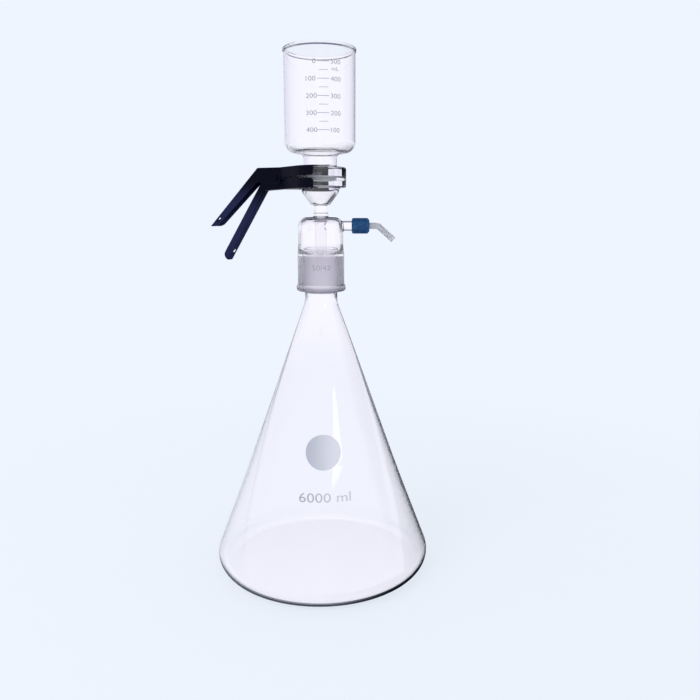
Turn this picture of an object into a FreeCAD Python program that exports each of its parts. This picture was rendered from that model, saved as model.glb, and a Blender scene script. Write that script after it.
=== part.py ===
import FreeCAD, Part
import math
import os

import Sketcher

# Vacuum filtration unit: a graduated glass funnel clamped on a fritted glass head, which stands with a
# ground joint on a large conical receiver flask. A screw cap on the head's side arm holds the elbow that
# the vacuum hose goes on. Millimetres, +Z up. The origin is the centre of the flask's flat foot, +X points
# along the side arm, and the clamp's handles point away from it, to the back left.

# Every size of the unit that can be set by itself: its name, its value and what it measures.
SIZES = (
    # receiver flask
    ("cone_foot_radius", 149.2, "where the cone's side would meet the table"),
    ("cone_height", 353.0, "level where the cone's side reaches the neck"),
    ("cone_waist_level", 130.0, "level where the cone's side is drawn in most"),
    ("cone_sag", 2.2, "how far it is drawn in there"),
    ("cone_sweep", 3000.0, "radius of that gentle hollow"),
    ("heel_radius", 20.0, "rounding between the foot and the cone"),
    ("foot_wall", 4.0, "glass under the liquid"),
    ("flask_wall", 3.0, "glass of the cone, measured level"),
    ("neck_radius", 20.5, "outside of the neck"),
    ("neck_length", 11.0, "from the cone up to the joint's shoulder"),
    ("neck_bend", 25.0, "rounding from the cone into the neck"),
    ("lip_length", 6.0, "clear lip above the ground cone"),
    ("lip_setback", 0.7, "the lip is this much slimmer than the ground cone"),
    # standard taper joint between flask and head
    ("joint_radius", 25.0, "wide end of the ground cone"),
    ("joint_length", 42.0, "length of the ground cone"),
    ("joint_taper", 20.0, "length over which the cone's radius changes by one"),
    ("joint_wall", 3.2, "glass of the ground cone at its narrow end"),
    ("joint_shoulder", 7.0, "from the neck up to the wide end"),
    ("joint_film", 0.05, "gap between the two ground faces"),
    # filter head
    ("socket_skirt", 4.3, "how far the socket reaches below the ground cone"),
    ("bead_stand", 1.7, "the bead at the socket's mouth stands out this much"),
    ("bead_depth", 7.9, "height of that bead"),
    ("socket_wall", 4.4, "glass of the socket outside the joint's wide end"),
    ("bell_stand", 3.2, "the bell's outside is this much wider than the joint's wide end"),
    ("bell_wall", 3.0, "glass of the bell"),
    ("bell_height", 88.0, "from the joint's wide end up to the crown"),
    ("crown_round", 11.0, "rounding of the bell's crown"),
    ("stem_radius", 8.55, "outside of the stem"),
    ("stem_bore", 6.0, "inside of the stem and drip tube"),
    ("stem_length", 15.3, "from the crown up to the bowl"),
    ("weld_radius", 9.4, "ring where the stem is sealed into the crown"),
    ("weld_height", 4.6, "height of that ring"),
    ("drip_radius", 7.4, "outside of the drip tube"),
    ("drip_level", 27.0, "from the joint's wide end up to the drip tip"),
    ("drip_slant", 6.0, "rise of the slanted drip tip"),
    ("bowl_foot_radius", 11.8, "bottom of the bowl"),
    ("bowl_waist_inset", 9.4, "from the flange's edge in to the bowl where it turns upright"),
    ("bowl_waist_drop", 18.5, "from the ground seam down to that turn"),
    ("bowl_inset", 7.5, "from the flange's edge in to the bowl under it"),
    ("bowl_depth", 32.7, "from the ground seam down to the bowl's foot"),
    ("bowl_wall", 3.2, "glass of the bowl"),
    # ground flanges
    ("flange_radius", 32.0, "outside of both ground flanges"),
    ("head_flange", 12.4, "height of the head's flange"),
    ("funnel_flange", 11.8, "height of the funnel's flange"),
    ("flange_round", 2.0, "rounding of the flanges"),
    ("frit_inset", 11.5, "from the flange's edge in to the sintered glass disc"),
    ("frit_depth", 4.0, "thickness of the disc"),
    ("frit_ledge", 1.8, "width of the ledge it is sealed on"),
    ("frit_film", 0.05, "gap left round the disc by the seal"),
    ("frit_drop", 0.2, "the disc lies this much under the ground face"),
    # funnel
    ("funnel_radius", 43.2, "outside of the funnel's barrel"),
    ("funnel_wall", 2.2, "glass of the barrel and floor"),
    ("funnel_height", 150.0, "from the ground seam up to the rim"),
    ("funnel_neck_inset", 11.5, "from the flange's edge in to the funnel's neck"),
    ("floor_rise", 28.4, "from the ground seam up to the funnel's floor"),
    ("floor_slope", 1.2, "rise of the floor from the neck to the wall"),
    ("floor_round", 13.0, "rounding between floor and barrel"),
    ("throat_round", 6.5, "rounding between floor and neck"),
    ("rim_radius", 44.4, "bead at the rim"),
    ("rim_depth", 4.2, "height of that bead"),
    # side arm with a GL14 screw thread
    ("arm_rise", 77.0, "from the joint's wide end up to the arm's axis"),
    ("arm_radius", 6.2, "outside of the arm's tube"),
    ("arm_bore", 4.75, "bore of the arm"),
    ("arm_length", 24.8, "from the bell out to the arm's end"),
    ("thread_radius", 7.0, "crest of the screw thread"),
    ("thread_length", 12.0, "length of the screw thread"),
    ("arm_fillet", 2.0, "blown fillet where the arm leaves the bell"),
    # screw cap, seal and hose elbow
    ("cap_radius", 9.7, "outside of the cap"),
    ("cap_length", 21.7, "length of the cap"),
    ("cap_chamfer", 2.3, "chamfer at both of its ends"),
    ("cap_roof", 3.9, "thickness of its end wall"),
    ("cap_gap", 0.3, "gap round the thread, the seal and the elbow"),
    ("rib_count", 32.0, "grip grooves round the cap"),
    ("rib_groove", 0.5, "depth of a grip groove"),
    ("rib_width", 0.7, "width of a grip groove"),
    ("seal_depth", 2.0, "thickness of the sealing ring"),
    ("seal_bore", 4.2, "hole of the sealing ring"),
    ("elbow_plate", 2.0, "thickness of the elbow's foot plate"),
    ("elbow_radius", 3.8, "outside of the elbow's tube"),
    ("elbow_bore", 2.5, "bore of the elbow"),
    ("elbow_run", 17.0, "from the foot plate out to the bend's corner"),
    ("elbow_bend", 8.0, "radius of the bend's centre line"),
    ("elbow_angle", 42.0, "how far the elbow turns down, in degrees"),
    ("elbow_tail", 26.0, "from the bend's corner to the tip"),
    # clamp
    ("clamp_turn", -22.0, "turn of the clamp about the upright axis, in degrees"),
    ("sheet", 1.3, "thickness of the clamp's sheet metal"),
    ("jaw_gap", 0.6, "from the flanges out to the jaws' walls"),
    ("jaw_lip", 4.5, "how far the jaws' lips reach over the flanges"),
    ("jaw_slit", 1.5, "half the slit between the two jaws"),
    ("jaw_round", 3.0, "corners of the jaws' walls beside the slit"),
    ("wall_reach", 4.0, "how far the jaws' walls pass the axis"),
    ("lip_reach", 7.5, "how far the jaws' lips pass the axis"),
    ("flare_slit", 0.25, "half the slit between the two flares"),
    ("flare_reach", 19.5, "from the flask's axis back to where the flares meet the jaws"),
    ("flare_start", 50.0, "from the flask's axis back to where the flares begin"),
    ("lever_width", 16.0, "width of the upper lever"),
    ("lever_gap", 0.3, "gap on each side between the nested levers"),
    ("pivot_reach", 58.4, "from the flask's axis back to the rivet"),
    ("ear_radius", 8.0, "how far the levers' ears reach past the rivet"),
    ("bend_radius", 3.5, "outside of the bends between arms and handles"),
    ("edge_round", 1.6, "outside of the bends between webs and cheeks"),
    ("upper_reach", 83.2, "from the flask's axis back to the upper bend"),
    ("upper_angle", 46.1, "fall of the upper handle, in degrees"),
    ("upper_length", 101.5, "length of the upper handle"),
    ("upper_depth", 12.5, "depth of the upper handle's channel at its bend"),
    ("upper_taper", 3.1, "narrowing of that channel towards the tip, in degrees"),
    ("upper_hole_back", 15.2, "from the upper handle's tip up to its hole"),
    ("lower_reach", 73.8, "from the flask's axis back to the lower bend"),
    ("lower_fall", 3.5, "fall of the lower lever's arm, in degrees"),
    ("lower_angle", 57.7, "fall of the lower handle, in degrees"),
    ("lower_length", 104.5, "length of the lower handle"),
    ("lower_depth", 9.0, "depth of the lower handle's channel"),
    ("lower_hole_back", 12.6, "from the lower handle's tip up to its hole"),
    ("hole_radius", 3.6, "hole near the end of each handle"),
    ("slot_depth", 3.6, "height of the slot beside that hole"),
    ("rivet_radius", 2.5, "shank of the rivet"),
    ("rivet_fit", 0.05, "running gap round the shank and under the heads"),
    ("rivet_head_radius", 3.9, "radius of the rivet's heads"),
    ("rivet_head", 1.4, "height of a head"),
    ("wire_radius", 0.6, "wire of the torsion spring"),
    ("coil_radius", 5.0, "mean radius of its coil"),
    ("coil_pitch", 1.4, "rise of the coil in a turn"),
    ("coil_turns", 3.0, "whole turns of the coil"),
    ("upper_leg_angle", 19.3, "rise of the leg under the upper lever, in degrees"),
    ("lower_leg_angle", 26.5, "fall of the leg on the lower lever, in degrees"),
    ("leg_length", 19.0, "length of both legs"),
)


class Size:
    """A size as both its value and the sheet formula that it comes from."""

    def __init__(self, value, formula):
        self.value = float(value)
        self.formula = formula

    @staticmethod
    def of(number):
        return number if isinstance(number, Size) else Size(number, repr(number))

    def __add__(self, other):
        other = Size.of(other)
        return Size(self.value + other.value, f"({self.formula} + {other.formula})")

    def __sub__(self, other):
        other = Size.of(other)
        return Size(self.value - other.value, f"({self.formula} - {other.formula})")

    def __mul__(self, other):
        other = Size.of(other)
        return Size(self.value * other.value, f"({self.formula} * {other.formula})")

    def __truediv__(self, other):
        other = Size.of(other)
        return Size(self.value / other.value, f"({self.formula} / {other.formula})")

    def __neg__(self):
        return Size(0, "0") - self


def cosine(angle):
    return Size(math.cos(math.radians(angle.value)), f"cos({angle.formula})")


def sine(angle):
    return Size(math.sin(math.radians(angle.value)), f"sin({angle.formula})")


def half_chord(radius, distance):
    """Half the width of a circle at a distance from its centre."""
    return Size(
        math.sqrt(radius.value**2 - distance.value**2),
        f"sqrt({radius.formula} * {radius.formula} - {distance.formula} * {distance.formula})",
    )


class Sheet:
    """The document's spreadsheet, whose cells are read as attributes."""

    def __init__(self, document):
        self.cells = document.addObject("Spreadsheet::Sheet", "Sizes")
        for row, (alias, value, meaning) in enumerate(SIZES, start=1):
            self.cells.set(f"A{row}", meaning)
            self.cells.set(f"B{row}", str(value))
            self.cells.setAlias(f"B{row}", alias)
            setattr(self, alias, Size(value, f"Sizes.{alias}"))
        document.recompute()


doc = FreeCAD.newDocument("vacuum_filtration_unit")
size = Sheet(doc)

# Levels and radii that several pieces share.
joint_level = size.cone_height + size.neck_length + size.joint_shoulder
joint_top = joint_level + size.joint_length
joint_top_radius = size.joint_radius - size.joint_length / size.joint_taper
crown_level = joint_level + size.bell_height
seam_level = crown_level + size.stem_length + size.bowl_depth
arm_level = joint_level + size.arm_rise
socket_radius = size.joint_radius + size.socket_wall
bead_radius = socket_radius + size.bead_stand
bell_radius = size.joint_radius + size.bell_stand
bell_bore = bell_radius - size.bell_wall
arm_reach = bell_radius + size.arm_length
bowl_radius = size.flange_radius - size.bowl_inset
bowl_waist_radius = size.flange_radius - size.bowl_waist_inset
frit_radius = size.flange_radius - size.frit_inset
ledge_radius = frit_radius - size.frit_ledge
funnel_neck_radius = size.flange_radius - size.funnel_neck_inset
jaw_bore = size.flange_radius + size.jaw_gap
jaw_radius = jaw_bore + size.sheet
plate_start = arm_reach + size.seal_depth
cap_end = plate_start + size.elbow_plate + size.cap_roof
lower_width = size.lever_width - (size.sheet + size.lever_gap) * 2


# Sketches and features ---------------------------------------------------------------------------------


def new_body(name):
    body = doc.addObject("PartDesign::Body", name)
    body.Label = name
    return body


def origin_plane(body, role):
    return next(item for item in body.Origin.OriginFeatures if item.Role == role)


def new_sketch(body, name, plane, x=None, y=None, z=None, turn=None, about=(0, 0, 1)):
    """A sketch on one of the body's own planes, moved in the plane's frame and turned by bound sizes."""
    sketch = body.newObject("Sketcher::SketchObject", name)
    sketch.AttachmentSupport = [(origin_plane(body, plane), "")]
    sketch.MapMode = "FlatFace"
    if turn is not None:
        sketch.AttachmentOffset = FreeCAD.Placement(
            FreeCAD.Vector(), FreeCAD.Rotation(FreeCAD.Vector(*about), turn.value)
        )
        sketch.setExpression("AttachmentOffset.Rotation.Angle", turn.formula)
    for letter, distance in (("x", x), ("y", y), ("z", z)):
        if distance is not None:
            sketch.setExpression(f"AttachmentOffset.Base.{letter}", distance.formula)
    return sketch


def bind(sketch, constraint, formula):
    """Adds a dimension and ties it to the sheet."""
    index = sketch.addConstraint(constraint)
    sketch.setExpression(f"Constraints[{index}]", formula)


def place_point(sketch, geometry, point, x, y):
    """Dimensions a point from the sketch's origin, or pins it to an axis where a coordinate is zero."""
    for kind, axis, coordinate in (("DistanceX", -2, x), ("DistanceY", -1, y)):
        if coordinate.value == 0:
            sketch.addConstraint(Sketcher.Constraint("PointOnObject", geometry, point, axis))
        elif coordinate.value > 0:
            constraint = Sketcher.Constraint(kind, -1, 1, geometry, point, coordinate.value)
            bind(sketch, constraint, coordinate.formula)
        else:
            constraint = Sketcher.Constraint(kind, geometry, point, -1, 1, -coordinate.value)
            bind(sketch, constraint, (-coordinate).formula)


def rounding(before, corner, after, radius):
    """Where a rounding leaves the side before a corner, where it joins the side after, and its centre."""
    towards = (before - corner).normalize()
    away = (after - corner).normalize()
    half_angle = towards.getAngle(away) / 2
    setback = radius / math.tan(half_angle)
    bisector = (towards + away).normalize()
    centre = corner + bisector * (radius / math.sin(half_angle))
    return corner + towards * setback, corner + away * setback, centre


def outline(sketch, corners):
    """A closed outline of straight sides. Each corner is (x, y) or (x, y, rounding radius)."""
    corners = [tuple(Size.of(number) for number in corner) for corner in corners]
    points = [FreeCAD.Vector(corner[0].value, corner[1].value, 0) for corner in corners]
    count = len(corners)
    starts = list(points)
    ends = list(points)
    centres = [None] * count
    for i, corner in enumerate(corners):
        if len(corner) == 3:
            ends[i], starts[i], centres[i] = rounding(
                points[i - 1], points[i], points[(i + 1) % count], corner[2].value
            )
    sides = [
        sketch.addGeometry(Part.LineSegment(starts[i], ends[(i + 1) % count]), False) for i in range(count)
    ]
    for i, corner in enumerate(corners):
        side_before, side_after = sides[i - 1], sides[i]
        if len(corner) == 2:
            sketch.addConstraint(Sketcher.Constraint("Coincident", side_before, 2, side_after, 1))
            place_point(sketch, side_after, 1, corner[0], corner[1])
            continue
        mark = sketch.addGeometry(Part.Point(points[i]), True)
        place_point(sketch, mark, 1, corner[0], corner[1])
        sketch.addConstraint(Sketcher.Constraint("PointOnObject", mark, 1, side_before))
        sketch.addConstraint(Sketcher.Constraint("PointOnObject", mark, 1, side_after))
        turn = (points[i] - points[i - 1]).cross(points[(i + 1) % count] - points[i]).z
        first, last = (ends[i], starts[i]) if turn > 0 else (starts[i], ends[i])
        circle = Part.Circle(centres[i], FreeCAD.Vector(0, 0, 1), corner[2].value)
        arc = Part.ArcOfCircle(circle, circle.parameter(first), circle.parameter(last))
        bend = sketch.addGeometry(arc, False)
        near, far = (1, 2) if turn > 0 else (2, 1)
        sketch.addConstraint(Sketcher.Constraint("Tangent", side_before, 2, bend, near))
        sketch.addConstraint(Sketcher.Constraint("Tangent", side_after, 1, bend, far))
        bind(sketch, Sketcher.Constraint("Radius", bend, corner[2].value), corner[2].formula)


def circle(sketch, radius, x=0, y=0):
    """A circle of a bound radius about (x, y)."""
    x, y = Size.of(x), Size.of(y)
    centre = FreeCAD.Vector(x.value, y.value, 0)
    ring = sketch.addGeometry(Part.Circle(centre, FreeCAD.Vector(0, 0, 1), radius.value), False)
    place_point(sketch, ring, 3, x, y)
    bind(sketch, Sketcher.Constraint("Radius", ring, radius.value), radius.formula)


def turned(body, name, corners, kind="Revolution", axis="V_Axis"):
    """Turns an outline in the body's XZ plane about its upright or level axis."""
    sketch = new_sketch(body, f"{name}_outline", "XZ_Plane")
    outline(sketch, corners)
    feature = body.newObject(f"PartDesign::{kind}", name)
    feature.Profile = sketch
    feature.ReferenceAxis = (sketch, [axis])
    feature.Angle = 360.0
    return feature


def pad(body, name, sketch, length, both_ways=False, reverse=False):
    """Raises a sketch along its normal, against it, or half each way."""
    doc.recompute()
    feature = body.newObject("PartDesign::Pad", name)
    feature.Profile = sketch
    feature.Midplane = both_ways
    feature.Reversed = reverse
    feature.setExpression("Length", length.formula)
    doc.recompute()


def pocket(body, name, sketch, length, both_ways=False, reverse=False):
    """Cuts a sketch into the body against its normal, along it, or half each way."""
    doc.recompute()
    before = body.Tip.Shape.Volume
    feature = body.newObject("PartDesign::Pocket", name)
    feature.Profile = sketch
    feature.Midplane = both_ways
    feature.Reversed = reverse
    feature.setExpression("Length", length.formula)
    doc.recompute()
    if feature.Shape.Volume >= before - 1e-6:
        raise ValueError(f"{name} cuts nothing")
    return feature


def edges_where(shape, test):
    """Names of the edges whose sampled points all pass a test."""
    names = []
    for index, edge in enumerate(shape.Edges, start=1):
        if all(test(point) for point in edge.discretize(7)):
            names.append(f"Edge{index}")
    return names


def fillet(body, name, test, radius):
    """Rounds the edges that pass a test."""
    base = body.Tip
    feature = body.newObject("PartDesign::Fillet", name)
    feature.Base = (base, edges_where(base.Shape, test))
    feature.setExpression("Radius", radius.formula)
    return feature


# Glass -------------------------------------------------------------------------------------------------


def receiver_flask():
    """Conical flask, blown in one piece with its neck and the ground cone at its top."""
    body = new_body("receiver_flask")
    slope = (size.cone_foot_radius - size.neck_radius) / size.cone_height
    waist_radius = size.cone_foot_radius - slope * size.cone_waist_level - size.cone_sag
    inner_foot_radius = size.cone_foot_radius - size.flask_wall - slope * size.foot_wall
    neck_top = size.cone_height + size.neck_length
    neck_bore = size.neck_radius - size.flask_wall
    joint_bore = joint_top_radius - size.joint_wall
    lip_radius = joint_top_radius - size.lip_setback
    lip_round = (lip_radius - joint_bore) / 2.2
    turned(
        body,
        "flask_glass",
        (
            (0, 0),
            (size.cone_foot_radius, 0, size.heel_radius),
            (waist_radius, size.cone_waist_level, size.cone_sweep),
            (size.neck_radius, size.cone_height, size.neck_bend),
            (size.neck_radius, neck_top, 2.5),
            (size.joint_radius, joint_level, 1.0),
            (joint_top_radius, joint_top),
            (lip_radius, joint_top + 0.6),
            (lip_radius, joint_top + size.lip_length, lip_round),
            (joint_bore, joint_top + size.lip_length, lip_round),
            (joint_bore, joint_level, 4.0),
            (neck_bore, neck_top - 1.5, 4.0),
            (neck_bore, size.cone_height, size.neck_bend + size.flask_wall),
            (waist_radius - size.flask_wall, size.cone_waist_level, size.cone_sweep),
            (inner_foot_radius, size.foot_wall, size.heel_radius - size.foot_wall),
            (0, size.foot_wall),
        ),
    )


def head_outside():
    """The head's outer outline, from the socket's mouth up to the ground flange."""
    mouth = joint_level - size.socket_skirt
    flange_foot = seam_level - size.head_flange
    bowl_foot = seam_level - size.bowl_depth
    return (
        (0, mouth),
        (bead_radius, mouth, 2.8),
        (bead_radius, mouth + size.bead_depth, 2.8),
        (socket_radius, mouth + size.bead_depth + 0.8, 1.0),
        (socket_radius, joint_top, 20.0),
        (bell_radius, joint_top + 12, 20.0),
        (bell_radius, crown_level - 0.8, size.crown_round),
        (size.weld_radius, crown_level, 1.2),
        (size.weld_radius, crown_level + size.weld_height, 0.8),
        (size.stem_radius, crown_level + size.weld_height, 0.6),
        (size.stem_radius, bowl_foot - 0.8, 1.0),
        (size.bowl_foot_radius, bowl_foot, 1.0),
        (bowl_waist_radius, seam_level - size.bowl_waist_drop, 12.0),
        (bowl_radius, flange_foot, 2.0),
        (size.flange_radius, flange_foot, size.flange_round),
        (size.flange_radius, seam_level, 0.6),
        (0, seam_level),
    )


def head_bell_space():
    """Space inside the socket and the bell, round the drip tube."""
    mouth = joint_level - size.socket_skirt
    ground_radius = size.joint_radius + size.joint_film
    ground_top_radius = joint_top_radius + size.joint_film
    crown_inside = crown_level - size.bell_wall
    drip_end = joint_level + size.drip_level
    return (
        (0, mouth - 5),
        (ground_radius + 1.4, mouth - 5),
        (ground_radius + 1.4, mouth + 1.0, 1.5),
        (ground_radius, joint_level),
        (ground_top_radius, joint_top),
        (bell_bore, joint_top + 5, 6.0),
        (bell_bore, crown_inside - 0.8, size.crown_round - size.bell_wall),
        (size.drip_radius, crown_inside, 1.5),
        (size.drip_radius, drip_end),
        (0, drip_end),
    )


def head_stem_space():
    """Bore of the bowl, the stem and the drip tube, with the ledge for the sintered disc."""
    ledge = seam_level - size.frit_depth - size.frit_drop
    bowl_foot = seam_level - size.bowl_depth
    waist = seam_level - size.bowl_waist_drop
    return (
        (0, joint_level + size.drip_level - 2),
        (size.stem_bore, joint_level + size.drip_level - 2),
        (size.stem_bore, bowl_foot + 0.5, 3.0),
        (bowl_waist_radius - size.bowl_wall - 0.7, waist + 1.5, 9.0),
        (ledge_radius, ledge),
        (frit_radius, ledge),
        (frit_radius, seam_level + 5),
        (0, seam_level + 5),
    )


def filter_head():
    """Ground flange, bowl, stem, bell, ground socket and threaded side arm, blown in one piece."""
    body = new_body("filter_head")
    turned(body, "head_glass", head_outside())
    thread_start = arm_reach - size.thread_length
    arm = new_sketch(body, "side_arm_outline", "XZ_Plane", y=arm_level)
    outline(
        arm,
        (
            (bell_radius / 2, 0),
            (arm_reach, 0),
            (arm_reach, size.thread_radius, 1.0),
            (thread_start, size.thread_radius, 0.5),
            (thread_start - 1.2, size.arm_radius, 0.8),
            (bell_radius / 2, size.arm_radius),
        ),
    )
    tube = body.newObject("PartDesign::Revolution", "side_arm")
    tube.Profile = arm
    tube.ReferenceAxis = (arm, ["H_Axis"])
    tube.Angle = 360.0
    doc.recompute()

    def at_arm_root(point):
        from_axis = math.hypot(point.y, point.z - arm_level.value)
        return abs(from_axis - size.arm_radius.value) < 0.01 and 20 < point.x < bell_radius.value + 1

    fillet(body, "arm_root", at_arm_root, size.arm_fillet)
    turned(body, "bell_space", head_bell_space(), kind="Groove")
    turned(body, "stem_space", head_stem_space(), kind="Groove")
    bore = new_sketch(body, "arm_bore_circle", "YZ_Plane")
    circle(bore, size.arm_bore, 0, arm_level)
    doc.recompute()
    pocket(body, "arm_bore", bore, arm_reach + 5, reverse=True)
    tip = new_sketch(body, "drip_slant_outline", "XZ_Plane")
    drip_end = joint_level + size.drip_level
    outline(
        tip,
        (
            (-size.drip_radius - 1, drip_end - 3),
            (size.drip_radius + 1, drip_end - 3),
            (size.drip_radius + 1, drip_end + size.drip_slant),
            (-size.drip_radius - 1, drip_end + 0.4),
        ),
    )
    doc.recompute()
    pocket(body, "drip_slant", tip, size.drip_radius * 3, both_ways=True)


def frit_disc():
    """Sintered glass disc on its ledge in the head's flange."""
    body = new_body("frit_disc")
    radius = frit_radius - size.frit_film
    bottom = seam_level - size.frit_drop - size.frit_depth
    turned(
        body,
        "frit",
        ((0, bottom), (radius, bottom), (radius, bottom + size.frit_depth), (0, bottom + size.frit_depth)),
    )


def funnel():
    """Graduated funnel with a beaded rim, a rounded floor, a short neck and a ground flange."""
    body = new_body("funnel")
    rim = seam_level + size.funnel_height
    floor = seam_level + size.floor_rise
    barrel_bore = size.funnel_radius - size.funnel_wall
    neck_bore = funnel_neck_radius - size.funnel_wall
    flange_top = seam_level + size.funnel_flange
    turned(
        body,
        "funnel_glass",
        (
            (neck_bore, seam_level),
            (size.flange_radius, seam_level, 0.6),
            (size.flange_radius, flange_top, size.flange_round),
            (funnel_neck_radius, flange_top, 2.5),
            (funnel_neck_radius, floor, size.throat_round),
            (size.funnel_radius, floor + size.floor_slope, size.floor_round),
            (size.funnel_radius, rim - size.rim_depth, 1.0),
            (size.rim_radius, rim - size.rim_depth + 0.8, 1.0),
            (size.rim_radius, rim, 1.6),
            (barrel_bore, rim, 1.5),
            (barrel_bore, floor + size.floor_slope + size.funnel_wall, size.floor_round - size.funnel_wall),
            (neck_bore, floor + size.funnel_wall, size.throat_round + size.funnel_wall),
        ),
    )


# Side arm fittings --------------------------------------------------------------------------------------


def lift_to_arm(body):
    """Puts a fitting's own origin on the side arm's axis."""
    body.setExpression("Placement.Base.z", arm_level.formula)


def screw_cap():
    """GL14 screw cap with chamfered ends, grip grooves and a hole for the elbow."""
    body = new_body("screw_cap")
    lift_to_arm(body)
    mouth = cap_end - size.cap_length
    bore = size.thread_radius + size.cap_gap
    hole = size.elbow_radius + size.cap_gap * 2
    turned(
        body,
        "cap_shell",
        (
            (mouth, bore),
            (cap_end - size.cap_roof, bore),
            (cap_end - size.cap_roof, hole),
            (cap_end, hole),
            (cap_end, size.cap_radius - size.cap_chamfer, 0.5),
            (cap_end - size.cap_chamfer, size.cap_radius, 0.8),
            (mouth + size.cap_chamfer / 2, size.cap_radius, 0.8),
            (mouth, size.cap_radius - size.cap_chamfer / 2, 0.5),
        ),
        axis="H_Axis",
    )
    doc.recompute()
    groove = new_sketch(body, "grip_groove_outline", "XZ_Plane")
    outline(
        groove,
        (
            (mouth + size.cap_chamfer, size.cap_radius - size.rib_groove),
            (cap_end - size.cap_chamfer * 1.6, size.cap_radius - size.rib_groove),
            (cap_end - size.cap_chamfer * 1.2, size.cap_radius + 1),
            (mouth + size.cap_chamfer * 0.6, size.cap_radius + 1),
        ),
    )
    doc.recompute()
    first = pocket(body, "grip_groove", groove, size.rib_width, both_ways=True)
    grooves = body.newObject("PartDesign::PolarPattern", "grip_grooves")
    grooves.Originals = [first]
    grooves.Axis = (groove, ["H_Axis"])
    grooves.Angle = 360.0
    grooves.setExpression("Occurrences", size.rib_count.formula)
    body.Tip = grooves


def seal_ring():
    """Soft ring between the arm's end and the elbow's foot plate."""
    body = new_body("seal_ring")
    lift_to_arm(body)
    turned(
        body,
        "ring",
        (
            (arm_reach, size.seal_bore),
            (plate_start, size.seal_bore),
            (plate_start, size.thread_radius),
            (arm_reach, size.thread_radius),
        ),
        axis="H_Axis",
    )


def elbow_path(body):
    """Centre line of the elbow: out along the arm's axis, then down to the tip."""
    corner = plate_start + size.elbow_run
    tip_x = corner + size.elbow_tail * cosine(size.elbow_angle)
    tip_z = -size.elbow_tail * sine(size.elbow_angle)
    start = FreeCAD.Vector(plate_start.value, 0, 0)
    middle = FreeCAD.Vector(corner.value, 0, 0)
    tip = FreeCAD.Vector(tip_x.value, tip_z.value, 0)
    leave, join, centre = rounding(start, middle, tip, size.elbow_bend.value)
    sketch = new_sketch(body, "elbow_path", "XZ_Plane")
    run = sketch.addGeometry(Part.LineSegment(start, leave), False)
    ring = Part.Circle(centre, FreeCAD.Vector(0, 0, 1), size.elbow_bend.value)
    arc = Part.ArcOfCircle(ring, ring.parameter(join), ring.parameter(leave))
    bend = sketch.addGeometry(arc, False)
    tail = sketch.addGeometry(Part.LineSegment(join, tip), False)
    mark = sketch.addGeometry(Part.Point(middle), True)
    place_point(sketch, run, 1, plate_start, Size.of(0))
    place_point(sketch, mark, 1, corner, Size.of(0))
    place_point(sketch, tail, 2, tip_x, tip_z)
    sketch.addConstraint(Sketcher.Constraint("PointOnObject", mark, 1, run))
    sketch.addConstraint(Sketcher.Constraint("PointOnObject", mark, 1, tail))
    sketch.addConstraint(Sketcher.Constraint("Tangent", run, 2, bend, 2))
    sketch.addConstraint(Sketcher.Constraint("Tangent", tail, 1, bend, 1))
    bind(sketch, Sketcher.Constraint("Radius", bend, size.elbow_bend.value), size.elbow_bend.formula)
    return sketch


def hose_elbow():
    """Bent hose connector: a foot plate under the cap, and the tube that the hose is pushed on to."""
    body = new_body("hose_elbow")
    lift_to_arm(body)
    path = elbow_path(body)
    section = new_sketch(body, "elbow_section", "YZ_Plane", z=plate_start)
    circle(section, size.elbow_radius)
    circle(section, size.elbow_bore)
    doc.recompute()
    tube = body.newObject("PartDesign::AdditivePipe", "elbow_tube")
    tube.Profile = section
    tube.Spine = path
    doc.recompute()
    turned(
        body,
        "foot_plate",
        (
            (plate_start, size.elbow_bore),
            (plate_start + size.elbow_plate, size.elbow_bore),
            (plate_start + size.elbow_plate, size.thread_radius - 0.2),
            (plate_start, size.thread_radius - 0.2),
        ),
        axis="H_Axis",
    )


# Clamp --------------------------------------------------------------------------------------------------


def place_on_seam(body):
    """Puts a clamp piece's own origin at the ground seam and turns it about the upright axis."""
    body.setExpression("Placement.Base.z", seam_level.formula)
    body.setExpression("Placement.Rotation.Angle", size.clamp_turn.formula)


def further(point, angle, distance):
    """The point that lies a distance down a handle that falls backwards at an angle."""
    return point[0] - distance * cosine(angle), point[1] - distance * sine(angle)


def under(point, angle, distance):
    """The point that lies a distance below a falling line, square to it."""
    return point[0] + distance * sine(angle), point[1] - distance * cosine(angle)


def inside_bend(corner, first_angle, second_angle, thickness):
    """Inner corner of a bent sheet whose outer corner and whose two falls are known."""
    middle = (first_angle + second_angle) / 2
    return under(corner, middle, thickness / cosine((second_angle - first_angle) / 2))


def between(first, second):
    """Two levels in rising order."""
    return (first, second) if first.value < second.value else (second, first)


def flare(body, name, start, half_width, radius):
    """Plan of the flare that widens from the arm to a circle about the flask's axis, up from a level."""
    plan = new_sketch(body, name, "XY_Plane", z=start)
    half_end = half_chord(radius, size.flare_reach)
    outline(
        plan,
        (
            (-size.flare_start, -half_width),
            (-size.flare_reach, -half_end),
            (-size.flare_reach, half_end),
            (-size.flare_start, half_width),
        ),
    )
    return plan


def disc(body, name, start, radius):
    """Plan of a disc about the flask's axis, up from a level."""
    plan = new_sketch(body, name, "XY_Plane", z=start)
    circle(plan, radius)
    return plan


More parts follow.
